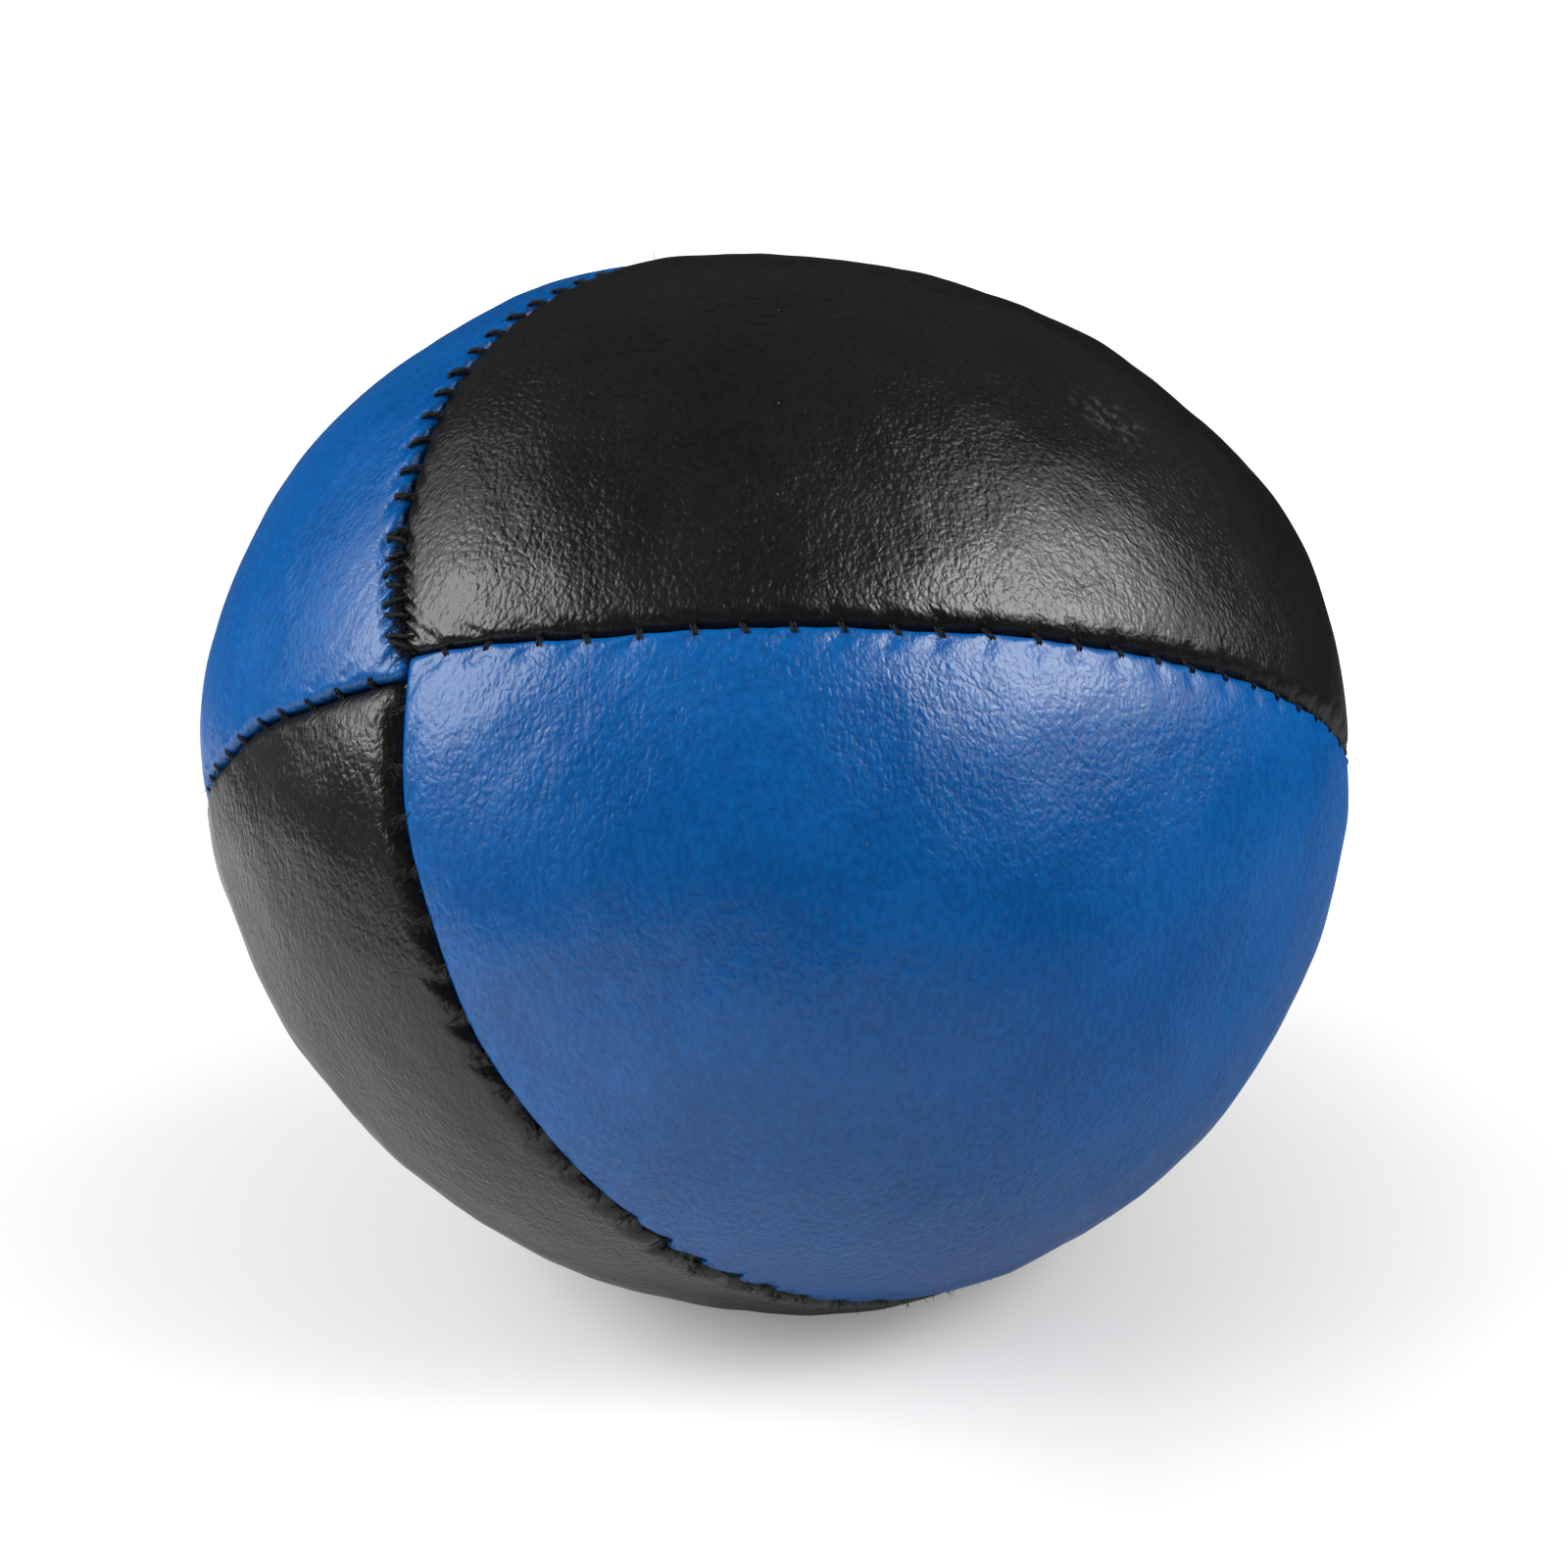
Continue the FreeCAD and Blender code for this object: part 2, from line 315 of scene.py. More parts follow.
def make_object(name, vertices, faces, material):
    """A mesh object from points in millimetres relative to the ball's centre."""
    mesh = bpy.data.meshes.new(name)
    mesh.from_pydata(((np.asarray(vertices) + CENTRE) * MM).tolist(), [], faces)
    mesh.validate()
    mesh.materials.append(material)
    mesh.shade_smooth()
    made = bpy.data.objects.new(name, mesh)
    bpy.context.scene.collection.objects.link(made)
    return made


def rest_on_floor(points, height):
    """Flattens what would sink below a height over the floor, with a soft edge."""
    soft = 0.25
    above = points[..., 2] + CENTRE[2] - height
    eased = 0.5 * (above + np.sqrt(above**2 + soft**2)) - soft / 2 * np.exp(-np.abs(above))
    points[..., 2] = height + np.maximum(eased, 0.0) - CENTRE[2]
    return points


def skin_faces(rows, columns):
    """Faces of a closed skin over rings of points: quads between the rings, and a cap at each end."""
    i, j = np.meshgrid(np.arange(rows - 1), np.arange(columns), indexing="ij")
    k = (j + 1) % columns
    this = i * columns
    following = (i + 1) * columns
    quads = np.stack([this + j, this + k, following + k, following + j], axis=-1)
    faces = quads.reshape(-1, 4).tolist()
    faces.append(list(range(columns))[::-1])
    faces.append([(rows - 1) * columns + j for j in range(columns)])
    return [face[::-1] for face in faces]


def roll_depth(distance, radius):
    """How deep the leather's surface lies at a distance from the seam, for an edge of that radius."""
    inside = np.clip(1 - distance / radius, 0, 1)
    circle = radius * (1 - np.sqrt(np.clip(1 - inside**2, 0, 1)))
    shoulder = 0.16 * np.exp(-distance / 1.9)
    return circle + shoulder


def column_shares(width):
    """Where a panel's columns lie across it, from 0 to 1: finest at the rolled edges."""
    turn = np.linspace(0, math.pi / 2, ROLL_COLUMNS)[:-1]
    fine = ROLL_ZONE * (1 - np.cos(turn))
    near = np.arange(ROLL_ZONE, NEAR_ZONE, NEAR_STEP)
    count = int((width - 2 * NEAR_ZONE) / COLUMN_STEP)
    middle = np.linspace(NEAR_ZONE, width - NEAR_ZONE, count)
    left = np.concatenate([fine, near])
    return np.concatenate([left, middle, width - left[::-1]]) / width


def panel_edge(seam, share, corner):
    """Points of a panel's edge at shares of its length, and their distances along the seam."""
    if seam in ("right", "left"):
        distance = share * seams[seam].length
        return seams[seam].at(distance), distance
    length = seams[seam].length
    if seam == "upper":
        place = corner + share * (length - corner)
        return loop_at(place), place
    place = corner + share * (-length - corner)
    return loop_at(place), -place


def smoothed(line, window):
    """A line of directions averaged over a window, with its two ends kept."""
    before = np.repeat(line[:1], window // 2, 0)
    after = np.repeat(line[-1:], window // 2, 0)
    padded = np.concatenate([before, line, after])
    total = np.cumsum(np.concatenate([np.zeros((1, 3)), padded]), axis=0)
    window = len(padded) - len(line) + 1
    mean = (total[window:] - total[:-window]) / window
    rows = np.arange(len(line))
    keep = np.clip(np.minimum(rows, rows[::-1]) / window, 0, 1)[:, None]
    return unit(line * (1 - keep) + mean * keep)


def panel_points(name, first, last, corner):
    """The closed cross-sections of a panel, from its front corner to the back pole."""
    length = max(seams[first].length, seams[last].length)
    rows = int(length / ROW_STEP)
    share = np.linspace(END_MARGIN / length, 1 - END_MARGIN / length, rows)
    start, start_place = panel_edge(first, share, corner)
    end, end_place = panel_edge(last, share, corner)
    a, b = unit(start), unit(end)
    opening = np.arccos(np.clip((a * b).sum(axis=1), -1, 1))
    width = opening * (np.linalg.norm(start, axis=1) + np.linalg.norm(end, axis=1)) / 2

    # how many rows an edge is averaged over to take its teeth away
    smoothing = 2 * int(4.0 / ROW_STEP)

    def slant(edge, other):
        run = unit(edge[smoothing:] - edge[:-smoothing])
        across = unit(other - edge)[smoothing // 2:-smoothing // 2]
        sine = np.sqrt(np.clip(1 - (run * across).sum(axis=1) ** 2, 0.05, 1))
        return np.pad(sine, smoothing // 2, mode="edge")

    slant_a, slant_b = slant(start, end), slant(end, start)
    inset_a = np.clip(EDGE_GAP / (width * slant_a), 0, 0.3)
    inset_b = np.clip(EDGE_GAP / (width * slant_b), 0, 0.3)

    calm_a, calm_b = smoothed(a, smoothing), smoothed(b, smoothing)

    def between(part):
        """Directions at parts of the way across each row. Teeth of the edges die out inwards."""
        part = inset_a[:, None] + part * (1 - inset_a - inset_b)[:, None]
        sine = np.sin(opening)[:, None]
        from_a = np.sin((1 - part) * opening[:, None]) / sine
        from_b = np.sin(part * opening[:, None]) / sine
        across = from_a[..., None] * calm_a[:, None] + from_b[..., None] * calm_b[:, None]
        near_a = np.exp(-part * width[:, None] / 1.3)
        near_b = np.exp(-(1 - part) * width[:, None] / 1.3)
        teeth = near_a[..., None] * (a - calm_a)[:, None] + near_b[..., None] * (b - calm_b)[:, None]
        return unit(across + teeth)

    shares = column_shares(width.max())
    outer = between(np.broadcast_to(shares, (rows, len(shares))))
    from_start = shares[None, :] * (width * slant_a)[:, None]
    from_end = (1 - shares)[None, :] * (width * slant_b)[:, None]
    roll_a = edge_roll(first, name, np.abs(start_place))[:, None]
    roll_b = edge_roll(last, name, np.abs(end_place))[:, None]
    depth = roll_depth(from_start, roll_a) + roll_depth(from_end, roll_b)
    deepest = np.maximum(roll_a, roll_b) + 0.35
    depth = deepest * np.tanh(depth / deepest)

    surface = on_ball(outer)
    relief = sum(height * ripple(surface, wavelength, seed) for height, wavelength, seed in RELIEF)
    calm = np.clip(np.minimum(from_start, from_end) / 4.0, 0, 1)
    puckers = pucker(first, from_start, start_place) + pucker(last, from_end, end_place)
    depth = depth + relief * calm + puckers
    surface = rest_on_floor(unit(outer) * (ball_radius(outer) - depth)[..., None], 0.0)

    flange_parts = np.array([1.0, 0.72, 0.45, 0.2])
    flange_a = flange(outer[:, 0], depth[:, 0], flange_parts)
    flange_b = flange(outer[:, -1], depth[:, -1], flange_parts[::-1])

    inner = inner_skin(between, width, slant_a, slant_b)
    return np.concatenate([flange_a, surface, flange_b, inner[:, ::-1]], axis=1)


def pucker(seam, from_seam, place):
    """Small dents where stitches pull the leather down beside a seam."""
    place = np.abs(place)
    grip = pull(STITCHES[seam], place, 0.55)
    if seam == "upper":
        grip = grip + pull(HAND_STITCHES, place, 0.3)
    dent = CLIMBED[seam][3] * np.exp(-(((from_seam - 0.75) / 0.45) ** 2))
    crease = 0.04 * np.exp(-from_seam / 1.6)
    return grip[:, None] * (dent + crease)


def flange(directions, top_depth, parts):
    """The turned-in allowance below an edge: outer face, from the roll down or up again."""
    depth = top_depth[:, None] + parts[None, :] * (FLANGE_DEPTH - top_depth)[:, None]
    radius = ball_radius(directions)[:, None] - depth
    return rest_on_floor(directions[:, None] * radius[..., None], 0.05)


def inner_skin(between, width, slant_a, slant_b):
    """The leather's inner side: up one flange, across the panel and down the other."""
    side = np.array([1.05, 1.05, 1.1, 1.6, 3.0])
    depths = np.array([FLANGE_DEPTH, 3.0, 1.75, 1.3, 1.1])
    middle = np.linspace(0, 1, 9)[1:-1]
    share_a = np.clip(side[None, :] / (width * slant_a)[:, None], 0, 0.42)
    share_b = 1 - np.clip(side[None, ::-1] / (width * slant_b)[:, None], 0, 0.42)
    low = share_a[:, -1:]
    high = share_b[:, :1]
    centre = low + (high - low) * middle[None, :]
    part = np.concatenate([share_a, centre, share_b], axis=1)
    depth = np.concatenate([depths, np.full(len(middle), LEATHER), depths[::-1]])
    directions = between(part)
    radius = ball_radius(directions) - depth[None, :]
    return rest_on_floor(directions * radius[..., None], LEATHER)


def make_panel(name, first, last, corner, material):
    rings = panel_points(name, first, last, corner)
    faces = skin_faces(*rings.shape[:2])
    return make_object(name + "_cover", rings.reshape(-1, 3), faces, material)


# ---------------------------------------------------------------- threads

def tube(path, radius, sides=6):
    """Vertices and faces of a round strand along a path, closed at both ends."""
    run = unit(np.gradient(path, axis=0))
    side = np.zeros_like(path)
    guess = np.cross(run[0], [0.3, 0.5, 0.8])
    for i, along in enumerate(run):
        guess = guess - along * (guess @ along)
        guess = guess / max(np.linalg.norm(guess), 1e-9)
        side[i] = guess
    over = np.cross(run, side)
    turn = np.arange(sides) * (2 * math.pi / sides)
    ring = side[:, None] * np.cos(turn)[None, :, None] + over[:, None] * np.sin(turn)[None, :, None]
    radius = np.broadcast_to(np.asarray(radius, float), (len(path),))
    vertices = (path[:, None] + ring * radius[:, None, None]).reshape(-1, 3)
    return vertices, skin_faces(len(path), sides)


def smooth_path(points, step):
    """A rounded path through points, with about that step between its own points."""
    points = np.asarray(points)
    for _ in range(2):
        quarter = points[:-1] * 0.75 + points[1:] * 0.25
        three = points[:-1] * 0.25 + points[1:] * 0.75
        cut = np.stack([quarter, three], axis=1).reshape(-1, 3)
        points = np.concatenate([points[:1], cut, points[-1:]])
    line = Line(points)
    return line.at(np.linspace(0, line.length, max(int(line.length / step), 4)))


def twisted(path, radius, plies=2, lay=1.1):
    """A thread of plies twisted round each other."""
    line = Line(path)
    run = unit(np.gradient(path, axis=0))
    side = unit(np.cross(run, unit(path)) + 1e-6)
    over = np.cross(run, side)
    parts = []
    for ply in range(plies):
        turn = line.distance * (2 * math.pi / lay) + ply * (2 * math.pi / plies)
        offset = side * np.cos(turn)[:, None] + over * np.sin(turn)[:, None]
        parts.append(tube(path + offset * radius * 0.5, radius * 0.62))
    return parts


def joined_parts(parts):
    """Vertices and faces of several closed strands as one mesh."""
    vertices = []
    faces = []
    base = 0
    for points, quads in parts:
        vertices.append(points)
        faces.extend([[v + base for v in f] for f in quads])
        base += len(points)
    return np.concatenate(vertices), faces


def seam_frame(name, distance):
    """Point, along, up and sideways directions at a seam. Sideways turns with rising seam angle."""
    point, along = seam_point(name, distance)
    up = unit(point)
    across = unit(np.cross(up, along))
    return point, along, up, across


def thread_path(name, side):
    """One thread of a machine-sewn seam.

    It runs inside along one flange, comes out at each stitch into the valley, locks with the other
    thread there and goes back. On one side of each seam it lies over the rolled edge on its way in.
    Each station is a distance sideways from the seam, a depth, and a distance along it from the
    stitch.
    """
    panel, climbs, hole = CLIMBED[name][:3]
    radius = EDGES[(name, panel)][0]
    if side == climbs:
        stations = [
            (1.3, 1.75, 0.42),
            (0.95, 1.1, 0.2),
            (hole, roll_depth(hole, radius) + 0.02, 0.1),
            (0.45 * hole, roll_depth(0.45 * hole, radius) - 0.1, 0.08),
            (-0.15, 0.5, 0.08),
        ]
    else:
        stations = [(1.25, 1.75, 0.42), (0.95, 1.25, 0.2), (0.5, 0.62, 0.11), (-0.12, 0.5, 0.1)]
    chance = np.random.default_rng(len(name) + 50)
    corners = []
    for place in STITCHES[name]:
        lean = chance.normal(0.32, 0.14)
        for back in (-1, 1):
            for sideways, depth, spread in stations[::-back]:
                slip = -lean * sideways * side if depth < 1.2 else 0.0
                point, along, up, across = seam_frame(name, place + back * spread + slip)
                corners.append(point - up * depth + across * sideways * side)
    return smooth_path(corners, 0.12)


def closing_path():
    """The hand-sewn whip stitch: it climbs over both edges and through them, again and again."""
    chance = np.random.default_rng(11)
    # one turn of the thread: distances sideways from the seam, and depths
    rising = [(-1.1, 1.3), (-1.0, 0.6), (-0.55, 0.12), (0.1, 0.1)]
    falling = [(0.8, 0.0), (1.35, 0.5), (1.0, 1.4), (0.0, 2.0)]
    ring = rising + falling
    corners = []
    for place in HAND_STITCHES:
        reach = chance.uniform(0.6, 0.85)
        lean = chance.normal(0, 0.16)
        for step, (sideways, depth) in enumerate(ring):
            shift = HAND_PITCH * step / len(ring) + lean * sideways
            point, along, up, across = seam_frame("upper", place + shift + chance.normal(0, 0.05))
            corners.append(point - up * (depth + chance.normal(0, 0.05)) + across * sideways * reach)
    return smooth_path(corners, 0.1)


def fibres(name, places, count, reach, seed):
    """Loose fibre ends that stand out of a seam's thread, most of them beside its stitches."""
    chance = np.random.default_rng(seed)
    parts = []
    for _ in range(count):
        place = abs(chance.choice(places) + chance.normal(0, 0.35))
        point, along, up, across = seam_frame(name, place)
        start = point - up * chance.uniform(0.2, 0.6) + across * chance.normal(0, 0.2)
        if name == "lower":
            # here most of them start on the black side of the seam
            start = start - across * chance.uniform(0.0, 0.7)
        heading = across * chance.normal(0, 1.0) + along * chance.normal(0, 0.8)
        heading = heading + up * chance.uniform(0.1, 0.7)
        curl = unit(chance.normal(size=3)) * chance.uniform(0.2, 0.7)
        size = chance.uniform(0.3, 1.0) * reach
        t = np.linspace(0, 1, 6)[:, None]
        path = start + unit(heading) * size * t + curl * size * t**2 * 0.8
        thin = chance.uniform(0.02, 0.035)
        parts.append(tube(path, thin * np.linspace(1, 0.45, 6), sides=4))
    return parts


# ---------------------------------------------------------------- millet

def near_any(targets, points):
    """Distances from points to the nearest of the targets."""
    tree = KDTree(len(targets))
    for number, target in enumerate(targets):
        tree.insert(target, number)
    tree.balance()
    return np.array([tree.find(point)[2] for point in points])


def millet_points(directions):
    """The heap of seeds: close under the leather, and drawn in around the turned-in edges."""
    surface = on_ball(directions)
    seam_points = np.concatenate([line.at(np.arange(0, line.length, 0.4)) for line in seams.values()])
    from_seam = near_any(seam_points.tolist(), surface.tolist())
    clear = np.clip((from_seam - 2.2) / 1.4, 0, 1)
    depth = FLANGE_DEPTH + 0.7 - (FLANGE_DEPTH - 1.1) * clear * clear * (3 - 2 * clear)
    # seeds lie in a spiral of even spacing, shaken out of line
    count = int(4 * math.pi * GIRTH_RADIUS**2 / SEED_SPACING**2)
    turn = np.arange(count) * math.pi * (3 - math.sqrt(5))
    height = 1 - 2 * (np.arange(count) + 0.5) / count
    ring = np.sqrt(1 - height**2)
    seeds = np.stack([ring * np.cos(turn), ring * np.sin(turn), height], axis=-1) * GIRTH_RADIUS
    seeds = seeds + np.random.default_rng(17).normal(0, 0.2 * SEED_SPACING, seeds.shape)
    apart = near_any(unit(seeds).tolist(), directions.tolist()) * GIRTH_RADIUS
    hollow = np.clip(apart / (0.75 * SEED_SPACING), 0, 1)
    depth = depth + 0.6 * (1 - np.sqrt(1 - 0.98 * hollow**2))
    return rest_on_floor(directions * (ball_radius(directions) - depth)[:, None], LEATHER + 0.4)


def make_millet(material):
    build = bmesh.new()
    bmesh.ops.create_icosphere(build, subdivisions=7, radius=1.0)
    directions = unit(np.array([list(v.co) for v in build.verts]))
    faces = [[v.index for v in face.verts] for face in build.faces]
    build.free()
    return make_object("millet_fill_grains", millet_points(directions), faces, material)


# ---------------------------------------------------------------- materials

def new_material(name):
    material = bpy.data.materials.new(name)
    material.use_nodes = True
    nodes = material.node_tree.nodes
    nodes.clear()
    output = nodes.new("ShaderNodeOutputMaterial")
    shader = nodes.new("ShaderNodeBsdfPrincipled")
    material.node_tree.links.new(shader.outputs[0], output.inputs["Surface"])
    return material, shader


def add(material, kind, **values):
    """A node with its properties and inputs set. An input is linked where its value is a socket.

    An input goes by its name, with _ for a space, or by i and its number.
    """
    node = material.node_tree.nodes.new(kind)
    for key, value in values.items():
        if hasattr(node, key):
            setattr(node, key, value)
            continue
        numbered = key[0] == "i" and key[1:].isdigit()
        socket = node.inputs[int(key[1:]) if numbered else key.replace("_", " ")]
        if isinstance(value, bpy.types.NodeSocket):
            material.node_tree.links.new(value, socket)
        else:
            socket.default_value = value
    return node


def object_position(material):
    return add(material, "ShaderNodeTexCoord").outputs["Object"]


def noise(material, where, scale, detail=2.0, roughness=0.5, distortion=0.0):
    made = add(material, "ShaderNodeTexNoise", Vector=where, Scale=scale, Detail=detail,
               Roughness=roughness, Distortion=distortion)
    return made.outputs["Fac"]


def remap(material, value, low, high, to_low, to_high):
    made = add(material, "ShaderNodeMapRange", Value=value, From_Min=low, From_Max=high,
               To_Min=to_low, To_Max=to_high)
    return made.outputs["Result"]


def mix_colour(material, factor, first, second):
    made = add(material, "ShaderNodeMix", data_type="RGBA", i0=factor, i6=first, i7=second)
    return made.outputs[2]


def maths(material, operation, a, b=0.0):
    return add(material, "ShaderNodeMath", operation=operation, i0=a, i1=b).outputs[0]


def weighted_sum(material, *terms):
    """The sum of values times their weights."""
    total = None
    for value, weight in terms:
        part = maths(material, "MULTIPLY", value, weight)
        total = part if total is None else maths(material, "ADD", total, part)
    return total


def dust(material, where):
    """Where specks of dust and one faint scuff lie on the leather."""
    cells = add(material, "ShaderNodeTexVoronoi", feature="F1", Vector=where, Scale=420.0)
    chosen = add(material, "ShaderNodeSeparateColor", Color=cells.outputs["Color"]).outputs[0]
    speck = maths(material, "LESS_THAN", cells.outputs["Distance"], 0.03)
    speck = maths(material, "MULTIPLY", speck, 0.8)
    speck = maths(material, "MULTIPLY", speck, maths(material, "GREATER_THAN", chosen, 0.8))
    away = add(material, "ShaderNodeVectorMath", operation="DISTANCE", i0=where, i1=SCUFF)
    near = remap(material, away.outputs["Value"], 0.0008, 0.0034, 1.0, 0.0)
    patchy = remap(material, noise(material, where, 1500.0, 3.0, 0.7), 0.5, 0.75, 0.0, 0.9)
    return maths(material, "MAXIMUM", speck, maths(material, "MULTIPLY", near, patchy))


def leather(name, deep, pale, roughness, grain_height, rim_shine):
    """Pebbled leather: small rounded grains between fine creases, with a softer variation over them.

    deep and pale are its colours in the creases and on the grains, and rim_shine is how much of
    its shine is left towards its outline.
    """
    material, shader = new_material(name)
    where = object_position(material)
    # the grain runs in short bent ridges that lean upright, so its pattern is stretched and warped
    stretched = add(material, "ShaderNodeMapping", Vector=where, Scale=(1.2, 1.2, 0.78)).outputs[0]
    warp = add(material, "ShaderNodeTexNoise", Vector=where, Scale=1100.0, Detail=1.0)
    bent = add(material, "ShaderNodeMix", data_type="VECTOR", i0=0.0006, i4=stretched,
               i5=warp.outputs["Color"])
    cells = add(material, "ShaderNodeTexVoronoi", feature="DISTANCE_TO_EDGE", Vector=bent.outputs[1],
                Scale=1950.0)
    crease = remap(material, cells.outputs["Distance"], 0.0, 0.3, 0.0, 1.0)
    grain = noise(material, stretched, 2250.0, 1.5, 0.5, 0.25)
    fine = noise(material, where, 7000.0, 2.0)
    height = weighted_sum(material, (crease, 0.28), (grain, 1.3), (fine, 0.2))
    bump = add(material, "ShaderNodeBump", Strength=1.0, Distance=grain_height, Height=height)
    material.node_tree.links.new(bump.outputs["Normal"], shader.inputs["Normal"])
    patch = noise(material, where, 130.0, 3.0)
    mottled = weighted_sum(material, (grain, 0.6), (patch, 0.4))
    lightness = remap(material, mottled, 0.35, 0.68, 0.0, 1.0)
    colour = mix_colour(material, lightness, (*deep, 1), (*pale, 1))
    dusty = [channel * 0.6 + 0.06 for channel in pale]
    colour = mix_colour(material, dust(material, where), colour, (*dusty, 1))
    material.node_tree.links.new(colour, shader.inputs["Base Color"])
    rough = remap(material, patch, 0.3, 0.7, roughness - 0.03, roughness + 0.04)
    material.node_tree.links.new(rough, shader.inputs["Roughness"])
    # worn leather shines less towards its outline than a smooth surface would
    facing = add(material, "ShaderNodeLayerWeight", Blend=0.5).outputs["Facing"]
    shine = remap(material, facing, 0.25, 0.65, 0.3, rim_shine)
    shine = maths(material, "MULTIPLY", shine, remap(material, facing, 0.6, 0.84, 1.0, 0.1))
    material.node_tree.links.new(shine, shader.inputs["Specular IOR Level"])
    return material


def thread_material(name, colour, roughness):
    material, shader = new_material(name)
    where = object_position(material)
    strands = noise(material, where, 9000.0, 2.0, 0.6)
    shadow = [channel * 0.5 for channel in colour]
    light = [channel * 1.6 for channel in colour]
    shade = mix_colour(material, strands, (*shadow, 1), (*light, 1))
    material.node_tree.links.new(shade, shader.inputs["Base Color"])
    bump = add(material, "ShaderNodeBump", Strength=0.6, Distance=0.00004, Height=strands)
    material.node_tree.links.new(bump.outputs["Normal"], shader.inputs["Normal"])
    shader.inputs["Roughness"].default_value = roughness
    shader.inputs["Specular IOR Level"].default_value = 0.15
    return material


def millet_material():
    material, shader = new_material("millet")
    where = object_position(material)
    patch = noise(material, where, 900.0, 3.0)
    colour = mix_colour(material, patch, (0.42, 0.24, 0.06, 1), (0.75, 0.56, 0.25, 1))
    material.node_tree.links.new(colour, shader.inputs["Base Color"])
    shader.inputs["Roughness"].default_value = 0.45
    return material


# where the scuff is on the black top panel, in metres
SCUFF = (0.0186, -0.0070, 0.0551)
BLUE = leather(
    "blue_leather",
    deep=(0.0001, 0.045, 0.17),
    pale=(0.001, 0.071, 0.245),
    roughness=0.265,
    grain_height=0.000042,
    rim_shine=0.1,
)
BLACK = leather(
    "black_leather",
    deep=(0.0035, 0.0035, 0.0037),
    pale=(0.0065, 0.0065, 0.0065),
    roughness=0.25,
    grain_height=0.000049,
    rim_shine=0.24,
)
MACHINE_THREAD = thread_material("machine_thread", (0.0055, 0.0055, 0.0058), 0.6)
HAND_THREAD = thread_material("hand_thread", (0.005, 0.005, 0.0052), 0.65)
MILLET = millet_material()


# ---------------------------------------------------------------- pieces

# Each panel's seams, how far its front corner is from the middle of the loop, and its leather.
PANELS = {
    "black_top_panel": ("right", "upper", POLE_MISMATCH, BLACK, "black_leather"),
    "blue_side_panel": ("upper", "left", -POLE_MISMATCH, BLUE, "blue_leather"),
    "black_side_panel": ("left", "lower", -POLE_MISMATCH, BLACK, "black_leather"),
    "blue_front_panel": ("lower", "right", POLE_MISMATCH, BLUE, "blue_leather"),
}


def settle(piece, nodes):
    """Puts a piece on the ball's one body, in the place of CAD nodes."""
    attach(piece, "root")
    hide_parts(*nodes)


for name, (first, last, corner, material, slot_name) in PANELS.items():
    piece = make_panel(name, first, last, corner, material)
    settle(piece, [name])

# loose fibres of each seam: how many, how long at most, and the seed of their random draws
LINT = {
    "right": (70, 0.5, 65),
    "left": (90, 0.8, 64),
    "upper": (260, 0.9, 75),
    "lower": (800, 0.9, 75),
}
SEWN = {"right_seam": ["right"], "left_seam": ["left"], "closing_loop": ["upper", "lower"]}
for kind, side in (("needle", 1), ("bobbin", -1)):
    for group, places in SEWN.items():
        parts = []
        for place in places:
            parts += twisted(thread_path(place, side), STRAND_RADIUS[place])
            if kind == "needle":
                parts += fibres(place, STITCHES[place], *LINT[place])
        node = "%s_%s_thread" % (group, kind)
        piece = make_object(node + "_twisted", *joined_parts(parts), MACHINE_THREAD)
        settle(piece, [node])

parts = twisted(closing_path(), HAND_STRAND_RADIUS, plies=3, lay=0.9)
parts += fibres("upper", HAND_STITCHES, count=520, reach=0.75, seed=81)
piece = make_object("hand_closing_thread_twisted", *joined_parts(parts), HAND_THREAD)
settle(piece, ["hand_closing_thread"])

fill = make_millet(MILLET)
settle(fill, ["millet_fill"])


# ---------------------------------------------------------------- camera, floor and lights

CAMERA_TILT = math.radians(22.0)
CAMERA_DISTANCE = 291.4
aim = Vector(CENTRE * MM)
back = Vector((0, -math.cos(CAMERA_TILT), math.sin(CAMERA_TILT)))
camera_data = bpy.data.cameras.new("camera")
camera_data.sensor_width = 36.0
camera_data.lens = 113.7
camera_data.shift_x = 0.0006
camera_data.shift_y = -0.0035
camera_data.clip_start = 0.01
camera = bpy.data.objects.new("camera", camera_data)
camera.location = aim + back * CAMERA_DISTANCE * MM
camera.rotation_euler = (-back).to_track_quat("-Z", "Y").to_euler()
bpy.context.scene.collection.objects.link(camera)
bpy.context.scene.camera = camera
bpy.context.scene.view_settings.view_transform = "Standard"


def soft_box(name, direction, distance, size, power, tall=1.0):
    """A studio light that faces the ball. Its height is tall times its size."""
    data = bpy.data.lights.new(name, "AREA")
    data.shape = "RECTANGLE"
    data.size = size
    data.size_y = size * tall
    data.energy = power
    made = bpy.data.objects.new(name, data)
    direction = Vector(direction).normalized()
    made.location = aim + direction * distance
    made.rotation_euler = (-direction).to_track_quat("-Z", "Y").to_euler()
    bpy.context.scene.collection.objects.link(made)


# each soft box is a wide panel with a brighter middle
soft_box("left_soft_box", (-0.83, -0.15, 0.53), distance=0.70, size=1.1, power=5.6, tall=0.68)
soft_box("left_soft_box_middle", (-0.83, -0.26, 0.50), distance=0.65, size=0.42, power=4.9)
soft_box("right_soft_box", (0.85, -0.15, 0.56), distance=0.70, size=0.85, power=5.9, tall=0.82)
soft_box("right_soft_box_middle", (0.80, -0.22, 0.58), distance=0.65, size=0.36, power=4.0, tall=0.72)

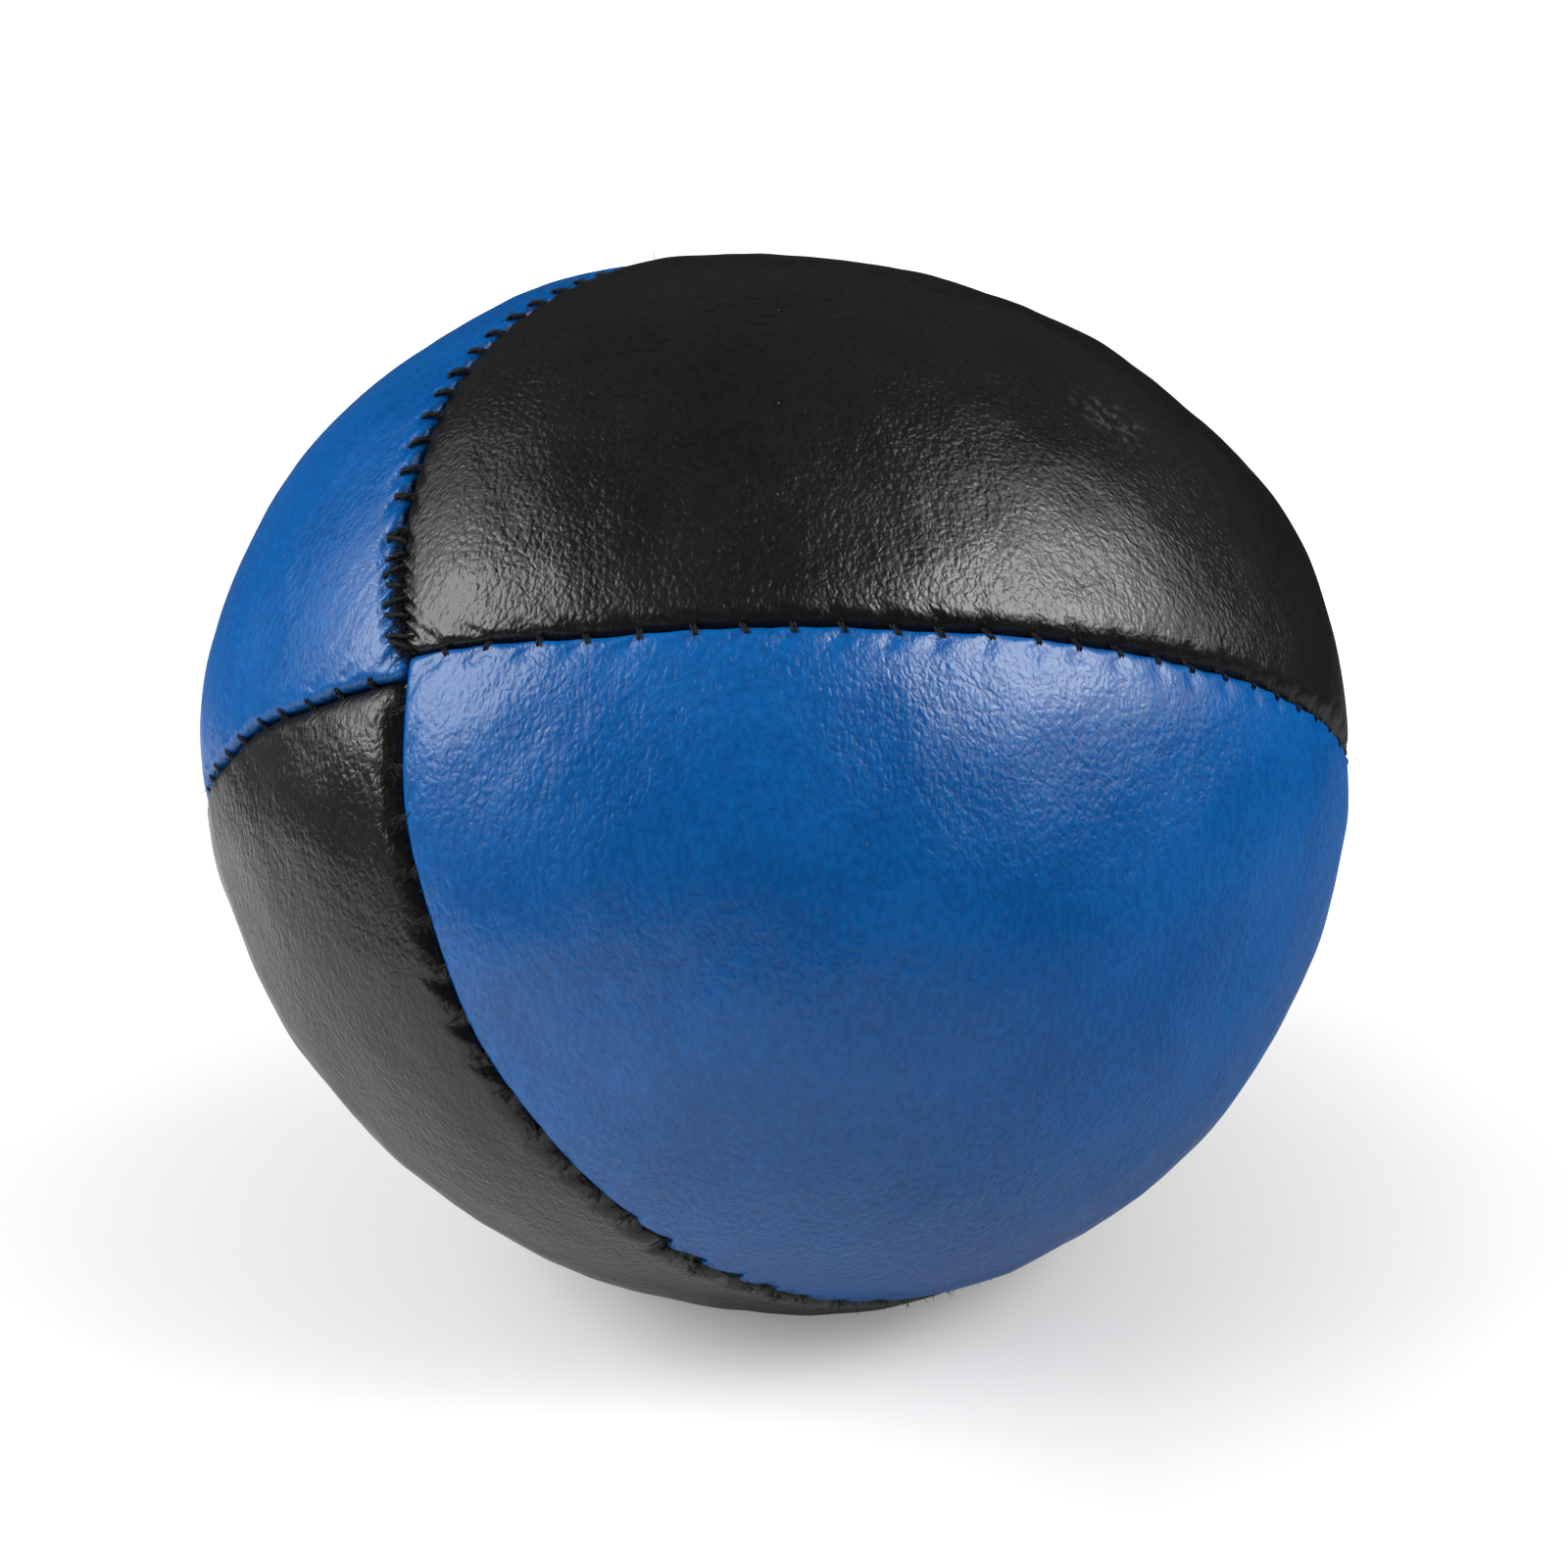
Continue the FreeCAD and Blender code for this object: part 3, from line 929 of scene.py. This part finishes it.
FLOOR_SIZE = 6.0
floor_mesh = bpy.data.meshes.new("floor")
half = FLOOR_SIZE / 2
corners = [(-half, -half, 0), (half, -half, 0), (half, half, 0), (-half, half, 0)]
floor_mesh.from_pydata(corners, [], [(0, 1, 2, 3)])
floor = bpy.data.objects.new("floor", floor_mesh)
bpy.context.scene.collection.objects.link(floor)
floor_material, floor_shader = new_material("floor")
floor_shader.inputs["Roughness"].default_value = 0.9
floor_shader.inputs["Specular IOR Level"].default_value = 0.0
floor_shader.inputs["Emission Color"].default_value = (1, 1, 1, 1)
for_camera = add(floor_material, "ShaderNodeLightPath").outputs["Is Camera Ray"]
floor_place = object_position(floor_material)
# painted bounce light and reflection: for rays other than the camera's, the floor's colour is bright on
# the left, darker to the right, and fades out between 0.08 and 0.14 m from the ball
across = add(floor_material, "ShaderNodeSeparateXYZ", Vector=floor_place).outputs["X"]
painted_bounce_albedo = remap(floor_material, across, -0.05, 0.06, 0.95, 0.2)
away = add(floor_material, "ShaderNodeVectorMath", operation="LENGTH", i0=floor_place)
from_ball = away.outputs["Value"]
painted_bounce_falloff = remap(floor_material, from_ball, 0.08, 0.14, 1.0, 0.1)
painted_bounce_albedo = maths(floor_material, "MULTIPLY", painted_bounce_albedo, painted_bounce_falloff)
# painted shadow: the camera sees the floor darker to the right of the ball; the grey chosen below is
# painted light for every kind of ray
painted_shadow_grey = remap(floor_material, across, -0.01, 0.02, 0.48, 0.32)
chosen = add(floor_material, "ShaderNodeMix", data_type="FLOAT", i0=for_camera, i2=painted_bounce_albedo, i3=painted_shadow_grey)
floor_grey_with_painted_light = chosen.outputs[0]
grey = add(floor_material, "ShaderNodeCombineColor", Red=floor_grey_with_painted_light, Green=floor_grey_with_painted_light, Blue=floor_grey_with_painted_light)
floor_material.node_tree.links.new(grey.outputs[0], floor_shader.inputs["Base Color"])
# painted light and shadow: the camera also sees the floor glow, least where the ball stands, which
# paints the shadow round it; the glow rises to a white backdrop far away and is raised to the right of
# the ball, which lightens the painted shadow there
painted_near_glow = remap(floor_material, from_ball, 0.010, 0.050, 0.22, 0.43)
painted_far_glow = remap(floor_material, from_ball, 0.04, 0.3, 0.0, 0.6)
painted_right_glow = remap(floor_material, across, 0.015, 0.045, 0.0, 0.15)
painted_glow = maths(floor_material, "ADD", painted_near_glow, painted_far_glow)
painted_glow = maths(floor_material, "ADD", painted_glow, painted_right_glow)
painted_glow = maths(floor_material, "MULTIPLY", painted_glow, for_camera)
floor_material.node_tree.links.new(painted_glow, floor_shader.inputs["Emission Strength"])
floor_mesh.materials.append(floor_material)

world = bpy.data.worlds.new("studio")
world.use_nodes = True
tree = world.node_tree
tree.nodes.clear()
seen = tree.nodes.new("ShaderNodeLightPath")
sky = tree.nodes.new("ShaderNodeBackground")
backdrop = tree.nodes.new("ShaderNodeBackground")
choose = tree.nodes.new("ShaderNodeMixShader")
out = tree.nodes.new("ShaderNodeOutputWorld")
sky.inputs["Color"].default_value = (1, 1, 1, 1)
sky.inputs["Strength"].default_value = 0.07
backdrop.inputs["Color"].default_value = (1, 1, 1, 1)
backdrop.inputs["Strength"].default_value = 1.0
tree.links.new(seen.outputs["Is Camera Ray"], choose.inputs[0])
tree.links.new(sky.outputs[0], choose.inputs[1])
tree.links.new(backdrop.outputs[0], choose.inputs[2])
tree.links.new(choose.outputs[0], out.inputs["Surface"])
bpy.context.scene.world = world
